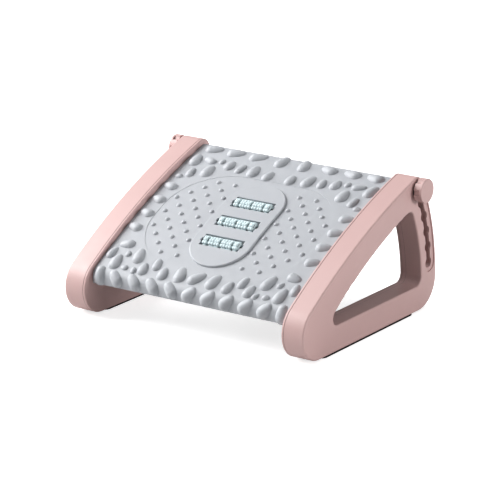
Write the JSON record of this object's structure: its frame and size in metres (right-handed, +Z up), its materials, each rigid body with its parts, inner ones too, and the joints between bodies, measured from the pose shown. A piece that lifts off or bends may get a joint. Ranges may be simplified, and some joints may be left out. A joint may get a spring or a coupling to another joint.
{
  "type": "massage footrest",
  "caption": "Tilting massage footrest: a pebbled platform with nubbed rollers swings between looped side frames and is clamped by knobs in notched slots.",
  "frame": {"origin": "on the floor, at the middle of the footrest's bounding box", "axes": "+X across the footrest to the user's right, +Y to the back (the raised edge), +Z up"},
  "size_m": [0.3878, 0.304, 0.1789],
  "materials": {
    "frame_plastic": "satin moulded",
    "platform_plastic": "satin moulded",
    "sleeve_rubber": "soft moulded",
    "axle_black": "black coated",
    "tray_plastic": "matt moulded",
    "strip_rubber": "matt",
    "steel": "zinc plated",
    "insert_brass": "turned"
  },
  "bodies": {
    "side_frames": {"left_outer_shell": "frame_plastic", "left_inner_cover": "frame_plastic", "left_cover_screws": "steel", "left_foot_strip": "strip_rubber", "left_rod_clip": "steel", "right_outer_shell": "frame_plastic", "right_inner_cover": "frame_plastic", "right_cover_screws": "steel", "right_foot_strip": "strip_rubber", "right_rod_clip": "steel", "swing_rod": "steel"},
    "platform": {"platform": "platform_plastic", "roller_tray": "tray_plastic", "tray_screws": "steel", "left_clamp_insert": "insert_brass", "right_clamp_insert": "insert_brass"},
    "lower_roller": {"lower_axle": "axle_black", "lower_sleeve_1": "sleeve_rubber", "lower_sleeve_2": "sleeve_rubber", "lower_sleeve_3": "sleeve_rubber", "lower_sleeve_4": "sleeve_rubber"},
    "middle_roller": {"middle_axle": "axle_black", "middle_sleeve_1": "sleeve_rubber", "middle_sleeve_2": "sleeve_rubber", "middle_sleeve_3": "sleeve_rubber", "middle_sleeve_4": "sleeve_rubber"},
    "upper_roller": {"upper_axle": "axle_black", "upper_sleeve_1": "sleeve_rubber", "upper_sleeve_2": "sleeve_rubber", "upper_sleeve_3": "sleeve_rubber", "upper_sleeve_4": "sleeve_rubber"},
    "left_washer": {"left_clamp_washer": "steel"},
    "left_knob": {"left_knob": "frame_plastic", "left_clamp_bolt": "steel"},
    "right_washer": {"right_clamp_washer": "steel"},
    "right_knob": {"right_knob": "frame_plastic", "right_clamp_bolt": "steel"}
  },
  "joints": [
    {"name": "platform_tilt", "type": "hinge", "parent": "side_frames", "child": "platform", "pos_m": [0, -0.099, 0.046], "axis": [1, 0, 0], "range_deg": [-26.5, 0]},
    {"name": "lower_roller_spin", "type": "hinge", "parent": "platform", "child": "lower_roller", "pos_m": [0, -0.06209, 0.10052], "axis": [1, 0, 0], "continuous": true},
    {"name": "middle_roller_spin", "type": "hinge", "parent": "platform", "child": "middle_roller", "pos_m": [0, -0.02861, 0.11721], "axis": [1, 0, 0], "continuous": true},
    {"name": "upper_roller_spin", "type": "hinge", "parent": "platform", "child": "upper_roller", "pos_m": [0, 0.00545, 0.13269], "axis": [1, 0, 0], "continuous": true},
    {"name": "left_knob_back_off", "type": "slide", "parent": "platform", "child": "left_washer", "axis": [-1, 0, 0], "range_m": [0, 0.00375]},
    {"name": "left_knob_turn", "type": "hinge", "parent": "left_washer", "child": "left_knob", "pos_m": [-0.18, 0.10429, 0.1629], "axis": [-1, 0, 0], "range_deg": [0, 1081]},
    {"name": "right_knob_back_off", "type": "slide", "parent": "platform", "child": "right_washer", "axis": [1, 0, 0], "range_m": [0, 0.00375]},
    {"name": "right_knob_turn", "type": "hinge", "parent": "right_washer", "child": "right_knob", "pos_m": [0.18, 0.10429, 0.1629], "axis": [1, 0, 0], "range_deg": [0, 1081]}
  ],
  "couplings": [
    {"joint": "left_knob_turn", "follows": "left_knob_back_off", "rad_per_m": 5026.5},
    {"joint": "right_knob_turn", "follows": "right_knob_back_off", "rad_per_m": 5026.5}
  ]
}
